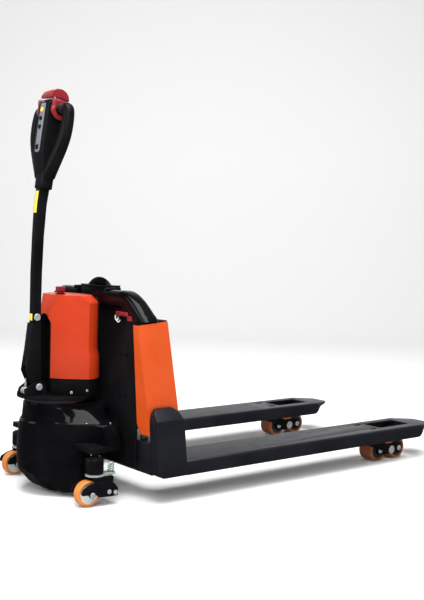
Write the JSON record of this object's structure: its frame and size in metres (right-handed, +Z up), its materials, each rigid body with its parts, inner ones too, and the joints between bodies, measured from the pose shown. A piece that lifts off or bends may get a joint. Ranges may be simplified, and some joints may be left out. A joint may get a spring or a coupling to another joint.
{
  "type": "electric pallet truck",
  "caption": "Low-lift electric pallet truck with a steered drive wheel under a round cover, an upright tiller, and two lifting forks on tandem load rollers.",
  "frame": {"origin": "on the floor under the middle of the truck's length and width", "axes": "+X towards the fork tips, +Y to the truck's left, +Z up"},
  "size_m": [1.507, 0.685, 1.1927],
  "materials": {
    "black_paint": "satin powder coat",
    "gloss_cover": "gloss moulded cover",
    "orange_paint": "gloss powder coat",
    "orange_cover": "gloss moulded cover",
    "grey_steel": "machined",
    "bright_steel": "zinc plated",
    "cast_iron": "cast",
    "aluminium": "cast aluminium",
    "black_plastic": "textured moulding",
    "grey_plastic": "smooth moulding",
    "grip_rubber": "soft grip",
    "red_plastic": "gloss moulding",
    "yellow_plastic": "moulding",
    "tyre_rubber": "black rubber tread",
    "wheel_rubber": "cast polyurethane tread",
    "caster_rubber": "cast polyurethane tread",
    "spring_steel": "lacquered spring"
  },
  "bodies": {
    "chassis": {"chassis_frame": "black_paint", "drive_cover": "gloss_cover", "slew_ring": "grey_steel", "battery_box": "black_plastic", "front_cover": "black_paint", "side_panel_left": "orange_paint", "side_panel_right": "orange_paint", "hood": "gloss_cover", "lift_cylinders": "grey_steel", "power_pack": "aluminium", "caster_mounts": "black_paint", "battery_connector": "red_plastic", "chassis_bolts": "bright_steel"},
    "steering": {"steering_plate": "black_paint", "head_skirt": "black_plastic", "drive_gearbox": "cast_iron", "drive_motor": "black_paint", "head_cover": "orange_cover", "controller": "aluminium", "estop_base": "black_plastic", "return_spring": "bright_steel"},
    "drive_wheel": {"drive_tyre": "tyre_rubber", "drive_hub": "cast_iron"},
    "tiller": {"tiller_sleeve": "black_paint", "tiller_arm": "black_paint", "tiller_pins": "bright_steel", "handle_shell": "black_plastic", "face_plate": "grey_plastic", "handle_grips": "grip_rubber"},
    "throttle_lever": {"throttle": "red_plastic"},
    "reverse_push": {"reverse_button": "red_plastic"},
    "horn_push": {"horn_button": "yellow_plastic"},
    "lift_push": {"lift_button": "grey_plastic"},
    "lower_push": {"lower_button": "grey_plastic"},
    "speed_push": {"speed_button": "black_plastic"},
    "estop_push": {"estop_button": "red_plastic"},
    "battery": {"battery_pack": "black_plastic"},
    "carriage": {"fork_left": "black_paint", "fork_right": "black_paint", "fork_heel": "black_paint", "lift_rods": "bright_steel"},
    "torsion": {"torsion_shaft": "grey_steel"},
    "rod_left": {"push_rod_left": "grey_steel"},
    "load_rocker_left": {"rocker_left": "black_paint"},
    "load_bogie_left": {"bogie_left": "black_paint"},
    "load_roller_left_rear": {"roller_left_rear": "wheel_rubber"},
    "load_roller_left_front": {"roller_left_front": "wheel_rubber"},
    "swivel_left": {"caster_swivel_left": "bright_steel", "caster_spring_left": "spring_steel"},
    "trail_arm_left": {"caster_arm_left": "black_paint"},
    "small_wheel_left": {"caster_wheel_left": "caster_rubber"},
    "rod_right": {"push_rod_right": "grey_steel"},
    "load_rocker_right": {"rocker_right": "black_paint"},
    "load_bogie_right": {"bogie_right": "black_paint"},
    "load_roller_right_rear": {"roller_right_rear": "wheel_rubber"},
    "load_roller_right_front": {"roller_right_front": "wheel_rubber"},
    "swivel_right": {"caster_swivel_right": "bright_steel", "caster_spring_right": "spring_steel"},
    "trail_arm_right": {"caster_arm_right": "black_paint"},
    "small_wheel_right": {"caster_wheel_right": "caster_rubber"}
  },
  "joints": [
    {"name": "steer", "type": "hinge", "parent": "chassis", "child": "steering", "pos_m": [-0.6365, 0, 0.284], "axis": [0, 0, 1], "range_deg": [-90, 90]},
    {"name": "drive_spin", "type": "hinge", "parent": "steering", "child": "drive_wheel", "pos_m": [-0.6365, 0, 0.105], "axis": [0, 1, 0], "continuous": true},
    {"name": "tiller_tilt", "type": "hinge", "parent": "steering", "child": "tiller", "pos_m": [-0.7095, 0, 0.317], "axis": [0, -1, 0], "range_deg": [0, 72], "stiffness_Nm_per_rad": 22, "springref_deg": -34.38},
    {"name": "throttle_turn", "type": "hinge", "parent": "tiller", "child": "throttle_lever", "pos_m": [-0.65921, 0, 1.12974], "axis": [0, 1, 0], "range_deg": [-20, 20], "stiffness_Nm_per_rad": 0.8},
    {"name": "horn_press", "type": "slide", "parent": "tiller", "child": "horn_push", "axis": [0.9903, 0, -0.1392], "range_m": [0, 0.002], "stiffness_N_per_m": 1500},
    {"name": "lift_press", "type": "slide", "parent": "tiller", "child": "lift_push", "axis": [0.9903, 0, -0.1392], "range_m": [0, 0.002], "stiffness_N_per_m": 1500},
    {"name": "lower_press", "type": "slide", "parent": "tiller", "child": "lower_push", "axis": [0.9903, 0, -0.1392], "range_m": [0, 0.002], "stiffness_N_per_m": 1500},
    {"name": "speed_press", "type": "slide", "parent": "tiller", "child": "speed_push", "axis": [0.9903, 0, -0.1392], "range_m": [0, 0.002], "stiffness_N_per_m": 1500},
    {"name": "reverse_press", "type": "slide", "parent": "tiller", "child": "reverse_push", "axis": [-0.1392, 0, -0.9903], "range_m": [0, 0.0035], "stiffness_N_per_m": 2000},
    {"name": "estop_press", "type": "slide", "parent": "steering", "child": "estop_push", "axis": [0, 0, -1], "range_m": [0, 0.0035]},
    {"name": "battery_lift", "type": "slide", "parent": "chassis", "child": "battery", "axis": [0, 0, 1], "range_m": [0, 0.3]},
    {"name": "lift", "type": "slide", "parent": "chassis", "child": "carriage", "axis": [0, 0, 1], "range_m": [-0.036, 0.079]},
    {"name": "torsion_turn", "type": "hinge", "parent": "carriage", "child": "torsion", "pos_m": [-0.4465, 0, 0.125], "axis": [0, 1, 0], "range_deg": [-4.83, 10.25]},
    {"name": "rod_slide_left", "type": "slide", "parent": "carriage", "child": "rod_left", "axis": [1, 0, 0], "range_m": [-0.00715, 0.00337]},
    {"name": "rocker_turn_left", "type": "hinge", "parent": "carriage", "child": "load_rocker_left", "pos_m": [0.36879, 0.2625, 0.099], "axis": [0, 1, 0], "range_deg": [-13.25, 28.73]},
    {"name": "bogie_level_left", "type": "hinge", "parent": "load_rocker_left", "child": "load_bogie_left", "pos_m": [0.5385, 0.2625, 0.039], "axis": [0, 1, 0], "range_deg": [-28.73, 13.25]},
    {"name": "roller_spin_left_rear", "type": "hinge", "parent": "load_bogie_left", "child": "load_roller_left_rear", "pos_m": [0.4895, 0.2625, 0.039], "axis": [0, 1, 0], "continuous": true},
    {"name": "roller_spin_left_front", "type": "hinge", "parent": "load_bogie_left", "child": "load_roller_left_front", "pos_m": [0.5875, 0.2625, 0.039], "axis": [0, 1, 0], "continuous": true},
    {"name": "caster_turn_left", "type": "hinge", "parent": "chassis", "child": "swivel_left", "pos_m": [-0.6365, 0.223, 0.11], "axis": [0, 0, 1], "continuous": true},
    {"name": "caster_sink_left", "type": "hinge", "parent": "swivel_left", "child": "trail_arm_left", "pos_m": [-0.6045, 0.223, 0.04], "axis": [0, 1, 0], "range_deg": [0, 6], "stiffness_Nm_per_rad": 150, "springref_deg": -8.59},
    {"name": "caster_spin_left", "type": "hinge", "parent": "trail_arm_left", "child": "small_wheel_left", "pos_m": [-0.6595, 0.223, 0.037], "axis": [0, 1, 0], "continuous": true},
    {"name": "rod_slide_right", "type": "slide", "parent": "carriage", "child": "rod_right", "axis": [1, 0, 0], "range_m": [-0.00715, 0.00337]},
    {"name": "rocker_turn_right", "type": "hinge", "parent": "carriage", "child": "load_rocker_right", "pos_m": [0.36879, -0.2625, 0.099], "axis": [0, 1, 0], "range_deg": [-13.25, 28.73]},
    {"name": "bogie_level_right", "type": "hinge", "parent": "load_rocker_right", "child": "load_bogie_right", "pos_m": [0.5385, -0.2625, 0.039], "axis": [0, 1, 0], "range_deg": [-28.73, 13.25]},
    {"name": "roller_spin_right_rear", "type": "hinge", "parent": "load_bogie_right", "child": "load_roller_right_rear", "pos_m": [0.4895, -0.2625, 0.039], "axis": [0, 1, 0], "continuous": true},
    {"name": "roller_spin_right_front", "type": "hinge", "parent": "load_bogie_right", "child": "load_roller_right_front", "pos_m": [0.5875, -0.2625, 0.039], "axis": [0, 1, 0], "continuous": true},
    {"name": "caster_turn_right", "type": "hinge", "parent": "chassis", "child": "swivel_right", "pos_m": [-0.6365, -0.223, 0.11], "axis": [0, 0, 1], "continuous": true},
    {"name": "caster_sink_right", "type": "hinge", "parent": "swivel_right", "child": "trail_arm_right", "pos_m": [-0.6045, -0.223, 0.04], "axis": [0, 1, 0], "range_deg": [0, 6], "stiffness_Nm_per_rad": 150, "springref_deg": -8.59},
    {"name": "caster_spin_right", "type": "hinge", "parent": "trail_arm_right", "child": "small_wheel_right", "pos_m": [-0.6595, -0.223, 0.037], "axis": [0, 1, 0], "continuous": true}
  ],
  "couplings": [
    {"joint": "torsion_turn", "follows": "lift", "rad_per_m": 2.198},
    {"joint": "rod_slide_left", "follows": "lift", "ratio": -0.08792},
    {"joint": "rocker_turn_left", "follows": "lift", "rad_per_m": 6.28},
    {"joint": "bogie_level_left", "follows": "lift", "rad_per_m": -6.28},
    {"joint": "rod_slide_right", "follows": "lift", "ratio": -0.08792},
    {"joint": "rocker_turn_right", "follows": "lift", "rad_per_m": 6.28},
    {"joint": "bogie_level_right", "follows": "lift", "rad_per_m": -6.28}
  ]
}
